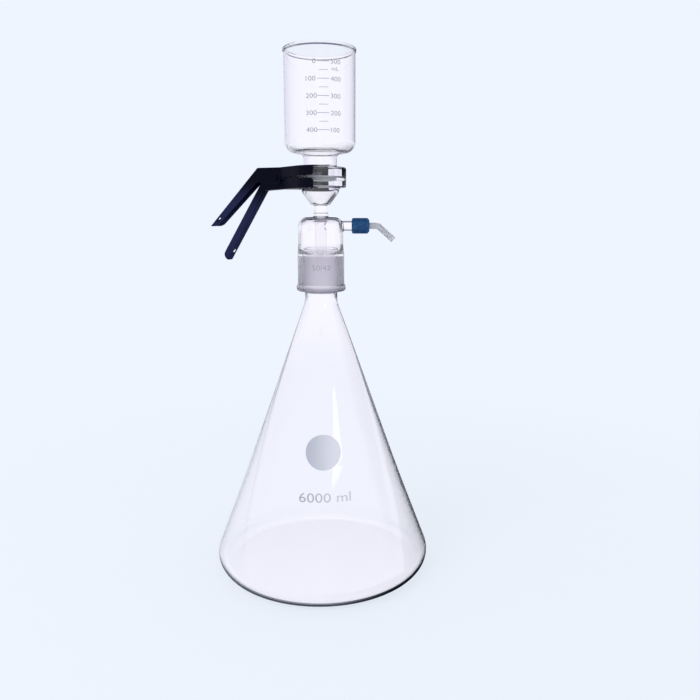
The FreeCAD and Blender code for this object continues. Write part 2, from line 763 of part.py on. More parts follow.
def jaw(body, name, half_width, outer_face, lip_face, side):
    """Horseshoe jaw with the flare that leads to it: a wall round a flange and a lip over its face.

    The lip lies above the flange when side is 1 and under it when side is -1.
    """
    slit_face = size.jaw_slit * side
    flare_face = size.flare_slit * side
    bottom, top = between(slit_face, outer_face)
    flare_bottom, flare_top = between(flare_face, outer_face)
    room_bottom, room_top = between(slit_face, lip_face)
    flare_room_bottom, flare_room_top = between(flare_face, lip_face)
    pad(body, f"{name}_disc", disc(body, f"{name}_plan", bottom, jaw_radius), top - bottom)
    wide = flare(body, f"{name}_flare_plan", flare_bottom, half_width, jaw_radius)
    pad(body, f"{name}_flare", wide, flare_top - flare_bottom)
    hollow = flare(body, f"{name}_flare_room_plan", flare_room_bottom, half_width - size.sheet, jaw_bore)
    pocket(body, f"{name}_flare_room", hollow, flare_room_top - flare_room_bottom, reverse=True)
    throat = disc(body, f"{name}_throat_plan", flare_bottom, size.flange_radius - size.jaw_lip)
    pocket(body, f"{name}_throat", throat, flare_top - flare_bottom, reverse=True)
    room = disc(body, f"{name}_room_plan", flare_room_bottom, jaw_bore)
    pocket(body, f"{name}_room", room, flare_room_top - flare_room_bottom, reverse=True)
    beyond = jaw_radius + 5
    mouth = new_sketch(body, f"{name}_mouth_side", "XZ_Plane")
    outline(mouth, ((size.lip_reach, bottom), (beyond, bottom), (beyond, top), (size.lip_reach, top)))
    pocket(body, f"{name}_mouth", mouth, jaw_radius * 3, both_ways=True)
    ends = new_sketch(body, f"{name}_wall_end_side", "XZ_Plane")
    outline(
        ends,
        (
            (size.wall_reach - size.jaw_round, slit_face),
            (beyond, slit_face),
            (beyond, lip_face),
            (size.wall_reach, lip_face),
            (size.wall_reach, slit_face + size.jaw_round * side, size.jaw_round),
        ),
    )
    pocket(body, f"{name}_wall_end", ends, jaw_radius * 3, both_ways=True)


def soften(body, name, half_width, corners):
    """Rounds the pressed bends between a lever's web and its cheeks, all along the web's outer line."""
    line = [FreeCAD.Vector(x.value, 0, z.value) for x, z in corners]

    def on_bend(point):
        flat = FreeCAD.Vector(point.x, 0, point.z)
        nearest = min(flat.distanceToLineSegment(a, b).Length for a, b in zip(line, line[1:]))
        return abs(abs(point.y) - half_width.value) < 0.01 and nearest < 0.6

    fillet(body, name, on_bend, size.edge_round)


def rivet_hole(body, name):
    """Hole for the rivet through both cheeks of a lever."""
    side = new_sketch(body, f"{name}_side", "XZ_Plane")
    circle(side, size.rivet_radius + size.rivet_fit, -size.pivot_reach, 0)
    pocket(body, name, side, size.lever_width * 2, both_ways=True)


def handle_hole(body, name, root, angle, along, inward, near_cheek):
    """Round hole in a handle's web, for a cord, with a slot beside it in one of the two cheeks."""
    side = new_sketch(body, f"{name}_slot_side", "XZ_Plane", x=root[0], y=root[1], turn=angle + 180)
    face, deep = size.sheet * inward, (size.sheet + size.slot_depth) * inward
    start, end = along - size.hole_radius, along + size.hole_radius
    outline(side, ((start, face), (end, face), (end, deep), (start, deep)))
    pocket(body, f"{name}_slot", side, size.lever_width, reverse=near_cheek)
    plan = new_sketch(
        body, f"{name}_hole_plan", "XY_Plane", x=root[0], z=root[1], turn=-angle, about=(0, 1, 0)
    )
    circle(plan, size.hole_radius, -along, 0)
    pocket(body, f"{name}_hole", plan, size.sheet * 4, both_ways=True)


def upper_lever():
    """Upper jaw, arm and handle of the clamp, pressed from one sheet; the channel opens downwards."""
    body = new_body("clamp_upper_lever")
    place_on_seam(body)
    web = size.funnel_flange
    top = web + size.sheet
    bend = (-size.upper_reach, top)
    edge_angle = size.upper_angle - size.upper_taper
    tip = further(bend, size.upper_angle, size.upper_length)
    edge = under(bend, size.upper_angle, size.upper_depth)
    edge_end = further(edge, edge_angle, (edge[1] - tip[1]) / sine(edge_angle))
    knee = further(edge, edge_angle, size.upper_depth)
    front = -size.flare_start
    side = new_sketch(body, "upper_side", "XZ_Plane")
    outline(
        side,
        (
            (front, top),
            (*bend, size.bend_radius),
            tip,
            (*edge_end, 14.0),
            (*knee, 4.0),
            (-size.pivot_reach - size.ear_radius, -size.ear_radius, 5.0),
            (front - 2, -size.ear_radius, 5.0),
            (front, size.flare_slit),
        ),
    )
    pad(body, "upper_arm", side, size.lever_width, both_ways=True)
    soften(body, "upper_edges", size.lever_width / 2, ((-size.flare_start, top), bend, tip))
    jaw(body, "upper_jaw", size.lever_width / 2, top, web, 1)
    inner_bend = inside_bend(bend, Size.of(0), size.upper_angle, size.sheet)
    inner_end = further(inner_bend, size.upper_angle, size.upper_length * 2)
    room = new_sketch(body, "upper_channel_side", "XZ_Plane")
    outline(
        room,
        (
            (front + 4, web),
            (*inner_bend, size.bend_radius - size.sheet),
            inner_end,
            (front + 4, inner_end[1]),
        ),
    )
    pocket(body, "upper_channel", room, size.lever_width - size.sheet * 2, both_ways=True)
    rivet_hole(body, "upper_rivet_hole")
    hole_along = size.upper_length - size.upper_hole_back
    handle_hole(body, "upper", bend, size.upper_angle, hole_along, 1, True)


def lower_lever():
    """Lower jaw, arm and handle of the clamp, nested in the upper lever; the channel opens upwards."""
    body = new_body("clamp_lower_lever")
    place_on_seam(body)
    web = -size.head_flange
    bottom = web - size.sheet
    front = -size.flare_start
    fall = (size.lower_reach + front) * sine(size.lower_fall) / cosine(size.lower_fall)
    bend = (-size.lower_reach, bottom - fall)
    tip = further(bend, size.lower_angle, size.lower_length)
    edge_end = under(tip, size.lower_angle, -size.lower_depth)
    edge = under(bend, size.lower_angle, -size.lower_depth)
    edge_rise = (size.ear_radius - edge[1]) / sine(size.lower_angle)
    shoulder = further(edge, size.lower_angle, -edge_rise)
    side = new_sketch(body, "lower_side", "XZ_Plane")
    outline(
        side,
        (
            (front, bottom),
            (front, -size.flare_slit),
            (front - 2, size.ear_radius, 5.0),
            (*shoulder, 5.0),
            (*edge_end, size.lower_depth * 0.8),
            tip,
            (*bend, size.bend_radius),
        ),
    )
    pad(body, "lower_arm", side, lower_width, both_ways=True)
    soften(body, "lower_edges", lower_width / 2, ((-size.flare_start, bottom), bend, tip))
    jaw(body, "lower_jaw", lower_width / 2, bottom, web, -1)
    inner_bend = inside_bend(bend, size.lower_fall, size.lower_angle, -size.sheet)
    inner_end = further(inner_bend, size.lower_angle, size.lower_length * 1.4)
    above = size.ear_radius * 2
    room = new_sketch(body, "lower_channel_side", "XZ_Plane")
    outline(
        room,
        (
            (front + 4, above),
            (inner_end[0], above),
            inner_end,
            (*inner_bend, size.bend_radius - size.sheet),
            (front, web),
            (front + 4, web),
        ),
    )
    pocket(body, "lower_channel", room, lower_width - size.sheet * 2, both_ways=True)
    rivet_hole(body, "lower_rivet_hole")
    hole_along = size.lower_length - size.lower_hole_back
    handle_hole(body, "lower", bend, size.lower_angle, hole_along, -1, False)


def clamp_rivet():
    """Rivet with two domed heads, which both levers turn on."""
    body = new_body("clamp_rivet")
    place_on_seam(body)
    head_face = size.lever_width / 2 + size.rivet_fit
    end = head_face + size.rivet_head
    section = new_sketch(body, "rivet_outline", "XY_Plane", x=-size.pivot_reach)
    outline(
        section,
        (
            (0, -end),
            (size.rivet_head_radius, -end, 1.0),
            (size.rivet_head_radius, -head_face),
            (size.rivet_radius, -head_face),
            (size.rivet_radius, head_face),
            (size.rivet_head_radius, head_face),
            (size.rivet_head_radius, end, 1.0),
            (0, end),
        ),
    )
    rivet = body.newObject("PartDesign::Revolution", "rivet")
    rivet.Profile = section
    rivet.ReferenceAxis = (section, ["V_Axis"])
    rivet.Angle = 360.0


def clamp_spring():
    """Torsion spring round the rivet; its legs push the two handles apart."""
    body = new_body("clamp_spring")
    place_on_seam(body)
    swept = (Size.of(180) - size.upper_leg_angle - size.lower_leg_angle) / 360
    turns = size.coil_turns + swept
    half_coil = turns * size.coil_pitch / 2
    start = new_sketch(
        body,
        "upper_leg_plan",
        "XY_Plane",
        x=-size.pivot_reach,
        turn=size.upper_leg_angle - 90,
        about=(0, 1, 0),
    )
    circle(start, size.wire_radius, size.coil_radius, -half_coil)
    doc.recompute()
    coil = body.newObject("PartDesign::AdditiveHelix", "coil")
    coil.Profile = start
    coil.ReferenceAxis = (start, ["V_Axis"])
    coil.Mode = 1
    coil.setExpression("Pitch", size.coil_pitch.formula)
    coil.setExpression("Turns", turns.formula)
    pad(body, "upper_leg", start, size.leg_length)
    finish = new_sketch(
        body,
        "lower_leg_plan",
        "XY_Plane",
        x=-size.pivot_reach,
        turn=Size.of(90) - size.lower_leg_angle,
        about=(0, 1, 0),
    )
    circle(finish, size.wire_radius, size.coil_radius, half_coil)
    pad(body, "lower_leg", finish, size.leg_length, reverse=True)


def finished_pieces():
    """All pieces, once no object has failed and every piece is one valid solid."""
    for item in doc.Objects:
        if "Invalid" in item.State or "Error" in item.State:
            raise ValueError(f"{item.Name} failed: {item.State}")
    pieces = [item for item in doc.Objects if item.TypeId == "PartDesign::Body"]
    for piece in pieces:
        if piece.Shape.isNull() or not piece.Shape.isValid() or len(piece.Shape.Solids) != 1:
            raise ValueError(f"{piece.Label} is not one valid solid")
    return pieces


receiver_flask()
filter_head()
frit_disc()
funnel()
upper_lever()
lower_lever()
clamp_rivet()
clamp_spring()
screw_cap()
seal_ring()
hose_elbow()
doc.recompute()
os.makedirs("parts", exist_ok=True)
for piece in finished_pieces():
    piece.Shape.exportStep(f"parts/{piece.Label}.step")
    print(f"{piece.Label}: {piece.Shape.Volume:.0f} cubic mm")
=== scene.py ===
# %% [markdown]
# # A vacuum filtration unit
#
# The unit is four pieces of glass stacked on one axis: a tall conical receiver
# flask, a filter head whose ground socket sits over the flask's cone, a
# sintered disc in the head, and a graduated funnel. A black spring clamp holds
# the two flat flanges together, and a blue screw cap holds the hose elbow.
#
# The CAD model already has every solid part in its place. This lesson gives
# each one its finish, adds the grey enamel print, which is too thin for the CAD
# model, and lights the whole as pale glass on a pale ground.

# %% Load the frame
import bmesh
import bpy
import math
import numpy as np
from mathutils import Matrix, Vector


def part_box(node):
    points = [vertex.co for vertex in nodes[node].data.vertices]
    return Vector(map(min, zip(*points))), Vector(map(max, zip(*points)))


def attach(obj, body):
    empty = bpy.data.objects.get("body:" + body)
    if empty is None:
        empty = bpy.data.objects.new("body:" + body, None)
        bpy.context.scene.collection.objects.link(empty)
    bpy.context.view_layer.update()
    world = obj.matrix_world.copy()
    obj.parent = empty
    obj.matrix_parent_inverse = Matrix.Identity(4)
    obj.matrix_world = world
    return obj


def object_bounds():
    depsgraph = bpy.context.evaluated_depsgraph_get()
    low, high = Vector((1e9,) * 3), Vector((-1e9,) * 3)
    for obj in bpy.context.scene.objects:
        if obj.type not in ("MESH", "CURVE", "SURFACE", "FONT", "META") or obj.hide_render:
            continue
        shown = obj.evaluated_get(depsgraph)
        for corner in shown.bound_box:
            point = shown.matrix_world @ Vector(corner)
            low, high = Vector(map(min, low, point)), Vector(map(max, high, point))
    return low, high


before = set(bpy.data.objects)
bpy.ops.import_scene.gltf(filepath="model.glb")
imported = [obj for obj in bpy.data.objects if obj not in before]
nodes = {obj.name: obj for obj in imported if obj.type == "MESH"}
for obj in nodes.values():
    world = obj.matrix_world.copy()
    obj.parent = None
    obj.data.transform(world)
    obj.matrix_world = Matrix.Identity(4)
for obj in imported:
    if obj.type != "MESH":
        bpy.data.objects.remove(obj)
cad_low, cad_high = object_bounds()
_, flask_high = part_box("receiver_flask")
head_low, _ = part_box("filter_head")
funnel_low, funnel_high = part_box("funnel")
flask_top, head_foot, seam, funnel_rim = flask_high[2], head_low[2], funnel_low[2], funnel_high[2]
print("nodes", sorted(nodes))
print("CAD box", [round(v, 4) for v in cad_low], [round(v, 4) for v in cad_high])

# %% [markdown]
# ## Small tools for shader trees
#
# Every finish below is wired from the same few steps: add a node, set its
# values, join two sockets. Writing them out each time would hide the recipe
# behind the wiring, so they become short helpers with plain names.

# %% Node helpers
def add(tree, kind, values=(), **settings):
    """A new node of this kind: settings are its attributes, values its sockets."""
    node = tree.nodes.new(kind)
    for name, value in settings.items():
        setattr(node, name, value)
    for socket, value in dict(values).items():
        feed(tree, value, node.inputs[socket])
    return node


def feed(tree, value, target):
    """Gives a socket its value: a link from another socket, or a plain number or colour."""
    if isinstance(value, bpy.types.NodeSocket):
        tree.links.new(value, target)
    elif target.type == "RGBA" and len(value) == 3:
        target.default_value = (*value, 1.0)
    else:
        target.default_value = value


def maths(tree, operation, first, second=0.0):
    """A Math node on two sockets or numbers, as its output socket."""
    return add(tree, "ShaderNodeMath", {0: first, 1: second}, operation=operation).outputs[0]


def product(tree, *factors):
    """All the factors multiplied, which for masks means where every one of them holds."""
    result = factors[0]
    for factor in factors[1:]:
        result = maths(tree, "MULTIPLY", result, factor)
    return result


def step_between(tree, value, start, end, low=0.0, high=1.0):
    """A smooth step: low where the value is at start, high where it is at end."""
    return add(tree, "ShaderNodeMapRange",
               {"Value": value, "From Min": start, "From Max": end, "To Min": low, "To Max": high},
               interpolation_type="SMOOTHSTEP").outputs["Result"]


def mixed(tree, factor, first, second):
    """A colour: first where the factor is 0, second where it is 1."""
    return add(tree, "ShaderNodeMix", {"Factor": factor, "A": first, "B": second},
               data_type="RGBA").outputs["Result"]


def coordinates(tree):
    """Object coordinates: a piece keeps its place in its mesh, so these are metres in the frame."""
    return add(tree, "ShaderNodeTexCoord").outputs["Object"]


def part_of(tree, vector, axis=2):
    """One part of a vector: x for 0, y for 1, and the height for 2."""
    return add(tree, "ShaderNodeSeparateXYZ", {0: vector}).outputs[axis]


def length_of(tree, vector):
    """A vector's length, which for Object coordinates is the distance from the flask's foot."""
    return add(tree, "ShaderNodeVectorMath", {0: vector}, operation="LENGTH").outputs["Value"]


def finish_named(name, **constants):
    """A material with one Principled shader, whose plain values are set on its own sockets."""
    material = bpy.data.materials.new(name)
    material.use_nodes = True
    shader = material.node_tree.nodes["Principled BSDF"]
    for socket, value in constants.items():
        shader.inputs[socket.replace("_", " ")].default_value = value
    return material, material.node_tree, shader


def dented(tree, shader, height, depth, strength=1.0):
    """Bump on the shader's normal: depth in metres for a height that goes from 0 to 1."""
    bump = add(tree, "ShaderNodeBump", {"Height": height, "Distance": depth, "Strength": strength})
    feed(tree, bump.outputs[0], shader.inputs["Normal"])


def give(material, *node_names):
    """Assigns a finish to every slot of some CAD nodes."""
    for name in node_names:
        for place in nodes[name].material_slots:
            place.material = material
    print(material.name, "on", ", ".join(node_names))


# %% [markdown]
# ## Two effects that several finishes share
#
# **Grain** is a noise whose contrast is stretched to run from 0 to 1. Paint,
# plastic, rubber, steel and print all need it, each at its own size.
#
# **Ground zone** is a mask. Sealing surfaces of laboratory glass are ground
# with carborundum: the cone joint is matt, and the flat flange faces are lapped
# finer. Ground glass is the same glass with a rough skin, so the piece stays
# one mesh with one material, and the mask raises the roughness between two
# heights and two radii. A separate frosted ring would double the surface, and
# a doubled surface shows as a false line inside clear glass.
#
# Both are shader groups, so that a change to one reaches every finish.

# %% The grain and the ground zone groups
def effect_group(name, inputs, output):
    """An empty shader group with a Position, some named numbers and one output."""
    tree = bpy.data.node_groups.new(name, "ShaderNodeTree")
    tree.interface.new_socket("Position", in_out="INPUT", socket_type="NodeSocketVector")
    for label in inputs:
        tree.interface.new_socket(label, in_out="INPUT", socket_type="NodeSocketFloat")
    tree.interface.new_socket(output, in_out="OUTPUT", socket_type="NodeSocketFloat")
    return tree, add(tree, "NodeGroupInput").outputs, add(tree, "NodeGroupOutput").inputs[output]


def effect(tree, group, **values):
    """One use of an effect group in a material, as its output socket."""
    values["Position"] = coordinates(tree)
    return add(tree, "ShaderNodeGroup", node_tree=group, values=values).outputs[0]


grain_group, given, result = effect_group("grain", ["Scale"], "Grain")
noise = add(grain_group, "ShaderNodeTexNoise",
            {"Vector": given["Position"], "Scale": given["Scale"], "Detail": 2.0})
feed(grain_group, step_between(grain_group, noise.outputs["Fac"], 0.3, 0.7), result)

zone_group, given, result = effect_group(
    "ground zone", ["Low", "High", "Inner", "Outer", "Fade"], "Mask")


def band(value, low, high):
    """1 between the two limits, falling to 0 within one fade width outside each."""
    below = maths(zone_group, "SUBTRACT", low, given["Fade"])
    above = maths(zone_group, "ADD", high, given["Fade"])
    return product(zone_group, step_between(zone_group, value, below, low),
                   step_between(zone_group, value, high, above, 1.0, 0.0))


flat = add(zone_group, "ShaderNodeVectorMath", {0: given["Position"], 1: (1.0, 1.0, 0.0)},
           operation="MULTIPLY")
feed(zone_group, product(
    zone_group, band(part_of(zone_group, given["Position"]), given["Low"], given["High"]),
    band(length_of(zone_group, flat.outputs[0]), given["Inner"], given["Outer"])), result)
print("groups:", grain_group.name, "and", zone_group.name)

# %% [markdown]
# ## Borosilicate glass
#
# The three glass pieces are blown and lathe-worked borosilicate. Its index is
# 1.47, and it absorbs very little, a faint grey that only shows where sight
# runs along a wall. Heat leaves slow waves in the surface, so a long, shallow
# bump bends the reflections a little without touching the outline.
#
# Ground glass scatters: the grit's own fine bump lies on top of a high
# roughness, and the skin takes a little light, which makes it greyer.

# %% Clear and ground glass
glass_index = 1.47
clear_tint, matt_tint = (1.0, 0.985, 0.992), (0.94, 0.915, 0.955)
body_colour, body_density = (0.60, 0.61, 0.68), 4.0
matt_roughness, lapped_roughness = 0.5, 0.08
zone_fade = 0.0004
wave_count = (18.0, 18.0, 5.0)
grit_scale, grit_share = 2600.0, 0.05


def glass(name, wave, *zones):
    """Glass with wavy skin, whose roughness is the largest of (zone mask x zone roughness)."""
    material, tree, shader = finish_named(name, IOR=glass_index, Metallic=0.0,
                                          Transmission_Weight=1.0)
    rough = 0.0
    for low, high, inner, outer, zone_roughness in zones:
        mask = effect(tree, zone_group, Low=low, High=high, Inner=inner, Outer=outer,
                      Fade=zone_fade)
        rough = maths(tree, "MAXIMUM", rough, maths(tree, "MULTIPLY", mask, zone_roughness))
    feed(tree, rough, shader.inputs["Roughness"])
    matt = maths(tree, "DIVIDE", rough, matt_roughness)
    feed(tree, mixed(tree, matt, clear_tint, matt_tint), shader.inputs["Base Color"])

    drawn_out = add(tree, "ShaderNodeMapping", {"Vector": coordinates(tree), "Scale": wave_count})
    waves = add(tree, "ShaderNodeTexNoise",
                {"Vector": drawn_out.outputs[0], "Scale": 1.0, "Detail": 1.0})
    grit = product(tree, effect(tree, grain_group, Scale=grit_scale), matt, grit_share)
    dented(tree, shader, maths(tree, "ADD", waves.outputs["Fac"], grit), wave)
    body = add(tree, "ShaderNodeVolumeAbsorption", {"Color": body_colour, "Density": body_density})
    feed(tree, body.outputs[0], tree.nodes["Material Output"].inputs["Volume"])
    return material


# The bead round the socket's mouth and the clear lip on top of the flask's cone.
bead_top, lip_foot = head_foot + 0.0078, flask_top - 0.0085
joint_inner, joint_outer, mouth_outer = 0.0222, 0.0262, 0.0272
face_inner, face_outer, face_depth = 0.0205, 0.0400, 0.0006

joint = (bead_top, lip_foot, joint_inner, joint_outer, matt_roughness)
joint_foot = (head_foot - 0.0002, bead_top, joint_inner, mouth_outer, matt_roughness)
flange_face = (seam - face_depth, seam + face_depth, face_inner, face_outer, lapped_roughness)
give(glass("flask glass", 0.00012, joint), "receiver_flask")
give(glass("head glass", 0.00025, joint, joint_foot, flange_face), "filter_head")
give(glass("funnel glass", 0.00010, flange_face), "funnel")

# %% [markdown]
# ## Sintered disc
#
# Glass powder, heated until its grains just stick: white, matt and full of
# pores. Cells 0.4 mm wide stand for the grains, and the same cells carry the
# colour and the pits, so that each pit is also painted darker, as painted shade.

# %% Sintered glass
cells_per_metre = 2600.0
pit_depth = 0.0002
sinter, tree, shader = finish_named("sintered glass", Roughness=0.95, IOR=glass_index)
cells = add(tree, "ShaderNodeTexVoronoi", {"Vector": coordinates(tree), "Scale": cells_per_metre})
# Painted shade: the colour darkens with the cell distance that also shapes the pits.
feed(tree, mixed(tree, cells.outputs["Distance"], (0.86, 0.86, 0.88), (0.66, 0.67, 0.70)),
     shader.inputs["Base Color"])
dented(tree, shader, cells.outputs["Distance"], pit_depth, 0.8)
give(sinter, "frit_disc")

# %% [markdown]
# ## The clamp
#
# The levers are pressed from sheet metal with a thin blue-black coating. Two
# things break up the black: the coating's slight orange peel, and a painted
# sheen: the handles are painted a lighter, bluish satin for the light they
# catch, while the arms and jaws keep the dark coat. Both levers hang down to
# their handles, so the height alone says where the painted sheen starts.

# %% Blue-black coating
# The second colour is a painted sheen: lighter and bluer, for the light the handles catch.
dark_coat, painted_sheen_coat = (0.0014, 0.0016, 0.0070), (0.0150, 0.0190, 0.0640)
peel_scale, peel_depth = 420.0, 0.00003
cloud_scale, least_painted_sheen, sheen_zone_roughness = 60.0, 0.75, 0.12


def lever_coating(name, node, first, last):
    """Coating with a painted sheen by height: from first to last metres under the node's top it
    goes from the dark coat to the lighter, bluer sheen colour, thinned out by a slow noise."""
    material, tree, shader = finish_named(name, Roughness=0.3, Specular_IOR_Level=0.05)
    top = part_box(node)[1][2]
    place = coordinates(tree)
    # Painted sheen: below the top the colour is painted lighter and bluer by height, for the light
    # on the handles.
    painted_sheen_by_height = step_between(tree, part_of(tree, place), top - first, top - last)
    cloudy = add(tree, "ShaderNodeTexNoise",
                 {"Vector": place, "Scale": cloud_scale, "Detail": 3.0})
    thinned = step_between(tree, cloudy.outputs["Fac"], 0.2, 0.8, least_painted_sheen, 1.0)
    painted_sheen = product(tree, painted_sheen_by_height, thinned)
    feed(tree, mixed(tree, painted_sheen, dark_coat, painted_sheen_coat), shader.inputs["Base Color"])
    peel = effect(tree, grain_group, Scale=peel_scale)
    gloss = step_between(tree, peel, 0.0, 1.0, 0.20, 0.34)
    duller = maths(tree, "MULTIPLY", painted_sheen_by_height, sheen_zone_roughness)
    feed(tree, maths(tree, "ADD", gloss, duller), shader.inputs["Roughness"])
    dented(tree, shader, peel, peel_depth, 0.35)
    return material


upper_coating = lever_coating("upper lever coating", "clamp_upper_lever",
                              first=0.014, last=0.045)
lower_coating = lever_coating("lower lever coating", "clamp_lower_lever",
                              first=0.020, last=0.050)
give(upper_coating, "clamp_upper_lever", "clamp_rivet")
give(lower_coating, "clamp_lower_lever")

# %% [markdown]
# ## Plain stuffs: steel, cap, seal and elbow
#
# Four small parts are each one stuff whose colour and gloss vary finely: the
# spring's steel, the cap's moulded polypropylene, the seal's soft rubber, and
# the elbow's milky plastic. One recipe serves them, with two colours, two
# roughnesses and the size of the grain.

# %% Steel, plastic and rubber
def grained(name, dark, light, smooth, rough, scale, dent, **constants):
    """A stuff that varies with its grain: colour = dark + (light - dark) x grain,
    roughness = smooth + (rough - smooth) x grain, height = dent x grain."""
    material, tree, shader = finish_named(name, **constants)
    grain = effect(tree, grain_group, Scale=scale)
    feed(tree, mixed(tree, grain, dark, light), shader.inputs["Base Color"])
    feed(tree, step_between(tree, grain, 0.0, 1.0, smooth, rough), shader.inputs["Roughness"])
    dented(tree, shader, grain, dent, 0.4)
    return material


give(grained("bright steel", (0.50, 0.50, 0.52), (0.66, 0.66, 0.68), 0.20, 0.40,
             scale=900.0, dent=0.00001, Metallic=1.0), "clamp_spring")
give(grained("blue cap plastic", (0.0025, 0.030, 0.105), (0.0145, 0.105, 0.285), 0.32, 0.48,
             scale=700.0, dent=0.00006, Specular_IOR_Level=0.3), "screw_cap")
give(grained("seal rubber", (0.42, 0.42, 0.44), (0.54, 0.54, 0.56), 0.60, 0.80,
             scale=500.0, dent=0.00002), "seal_ring")
give(grained("natural plastic", (0.77, 0.77, 0.81), (0.82, 0.82, 0.85), 0.45, 0.60,
             scale=300.0, dent=0.00001, IOR=1.5, Metallic=0.0, Transmission_Weight=0.7),
     "hose_elbow")

# %% [markdown]
# ## The enamel print
#
# The scale on the funnel, the round writing patch and the numbers are thin
# grey enamel, screen-printed flat and fired on. They are drawn the same way:
# first flat, as closed solids a few hundredths of a millimetre thick, and then
# every point goes round the glass, where its distance across becomes an angle.
# Painting them into the glass's own material would leave a print without
# thickness, which bends and doubles with every refraction behind it.

# %% Wrap a flat drawing round the glass
print_gap, print_thick = 0.00005, 0.00004
ink_grain, ink_mottle, ink_depth = 900.0, 0.14, 0.00001


def wrapped(flat, radius_at):
    """Flat points (across, up, depth) in metres laid on a turned surface: angle = across / radius,
    place = ((radius + depth) sin angle, -(radius + depth) cos angle, up)."""
    across, up, depth = flat.T
    radius = radius_at(up)
    angle = across / radius
    out = radius + depth
    return np.column_stack([out * np.sin(angle), -out * np.cos(angle), up])


def printed(name, drawings, radius_at, ink):
    """Several flat drawings, each (points, faces), as one piece wrapped round the glass."""
    starts = np.cumsum([0] + [len(points) for points, _ in drawings])
    faces = [[corner + start for corner in face]
             for start, (_, shape) in zip(starts, drawings) for face in shape]
    flat = np.concatenate([points for points, _ in drawings])
    mesh = bpy.data.meshes.new(name)
    mesh.from_pydata(wrapped(flat, radius_at).tolist(), [], faces)
    mesh.materials.append(ink)
    piece = bpy.data.objects.new(name, mesh)
    bpy.context.scene.collection.objects.link(piece)
    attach(piece, "stand")
    print(name, len(mesh.polygons), "faces")


def fired_enamel(name, left, left_colour, right, right_colour):
    """Thin ceramic print, painted lighter towards one side as painted light from behind:
    colour = left colour + (right colour - left colour) x smooth step of x, mottled by the grain."""
    material, tree, shader = finish_named(name, Roughness=0.6)
    # Painted light: the print is painted lighter towards the right, for light coming through from
    # behind.
    painted_backlight = step_between(tree, part_of(tree, coordinates(tree), 0), left, right)
    grain = effect(tree, grain_group, Scale=ink_grain)
    mottle = maths(tree, "MULTIPLY", maths(tree, "SUBTRACT", grain, 0.5), ink_mottle)
    feed(tree, mixed(tree, maths(tree, "ADD", painted_backlight, mottle), left_colour, right_colour),
         shader.inputs["Base Color"])
    dented(tree, shader, grain, ink_depth, 0.3)
    return material


# %% [markdown]
# ## Flat drawings
#
# Three shapes make all the print: letters, bars and a round patch. Letters come
# from the built-in font, given a little depth, and stretched to the wide
# figures that screen printers use. A bar and the patch are grids over two
# parameters, closed at their ends.

# %% Letters, bars and a disc as flat solids
digit_share = 0.72


def letters(words, height, left, middle, stretch=1.0):
    """Words as flat solids: across = left + stretch x (font x, from the first letter's edge),
    up = middle + font y from its middle, and the depth fills the print's thickness."""
    curve = bpy.data.curves.new("letters", "FONT")
    curve.body, curve.size = words, height / digit_share
    curve.extrude, curve.resolution_u = print_thick / 2, 3
    shape = bpy.data.objects.new("letters", curve)
    bpy.context.scene.collection.objects.link(shape)
    bpy.context.view_layer.update()
    mesh = bpy.data.meshes.new_from_object(shape)
    solid = bmesh.new()
    solid.from_mesh(mesh)
    bmesh.ops.remove_doubles(solid, verts=solid.verts, dist=1e-6)
    solid.to_mesh(mesh)
    solid.free()
    points = np.empty(len(mesh.vertices) * 3)
    mesh.vertices.foreach_get("co", points)
    x, y, z = points.reshape(-1, 3).T
    points = np.column_stack([left + stretch * (x - x.min()),
                              middle + y - (y.min() + y.max()) / 2,
                              print_gap + print_thick / 2 + z])
    faces = [list(face.vertices) for face in mesh.polygons]
    bpy.data.objects.remove(shape)
    bpy.data.curves.remove(curve)
    bpy.data.meshes.remove(mesh)
    return points, faces


def ring_faces(rows, around):
    """Quads of a grid that closes round its second parameter: each joins two neighbours in a row
    with the same two in the next row."""
    row, place = np.meshgrid(np.arange(rows - 1), np.arange(around), indexing="ij")
    row, place = row.ravel() * around, place.ravel()
    after, below = (place + 1) % around, row + around
    return np.column_stack([row + place, below + place, below + after, row + after]).tolist()


def bar(left, right, middle, height, steps=6):
    """A printed line: a grid over the way along and the four corners of its section,
    with up = middle -/+ half the height and depth = the print's two faces."""
    along = np.linspace(left, right, steps + 1)
    up = np.array([-1.0, 1.0, 1.0, -1.0]) * height / 2
    depth = print_gap + np.array([1.0, 1.0, 0.0, 0.0]) * print_thick
    points = np.column_stack([np.repeat(along, 4), middle + np.tile(up, steps + 1),
                              np.tile(depth, steps + 1)])
    last = 4 * steps
    return points, ring_faces(steps + 1, 4) + [[0, 1, 2, 3], [last + 3, last + 2, last + 1, last]]


def disc(across, up, radius, squash, rings=8, around=72):
    """A round patch: a grid over the turn and the way from the middle of its front, over the
    rim, to the middle of its back. place = middle + spread (cos turn, squash x sin turn)."""
    out = np.arange(1, rings + 1) / rings * radius
    spread = np.repeat(np.concatenate([out, out[::-1]]), around)
    depth = print_gap + np.repeat([print_thick, 0.0], rings * around)
    turn = np.tile(2 * np.pi * np.arange(around) / around, 2 * rings)
    points = np.column_stack([across + spread * np.cos(turn),
                              up + squash * spread * np.sin(turn), depth])
    points = np.vstack([points, [across, up, print_gap + print_thick], [across, up, print_gap]])
    front, back, last = len(points) - 2, len(points) - 1, (2 * rings - 1) * around
    caps = [[front, k, (k + 1) % around] for k in range(around)]
    caps += [[back, last + (k + 1) % around, last + k] for k in range(around)]
    return points, ring_faces(2 * rings, around) + caps


# %% [markdown]
# ## The funnel's scale
#
# The scale reads down on the left and up on the right, with a long bar at each
# hundred and a short one between. The numbers stand straight when seen from
# the front, so each place is given as it looks from there, x to the side, and
# the distance round the barrel follows from it.

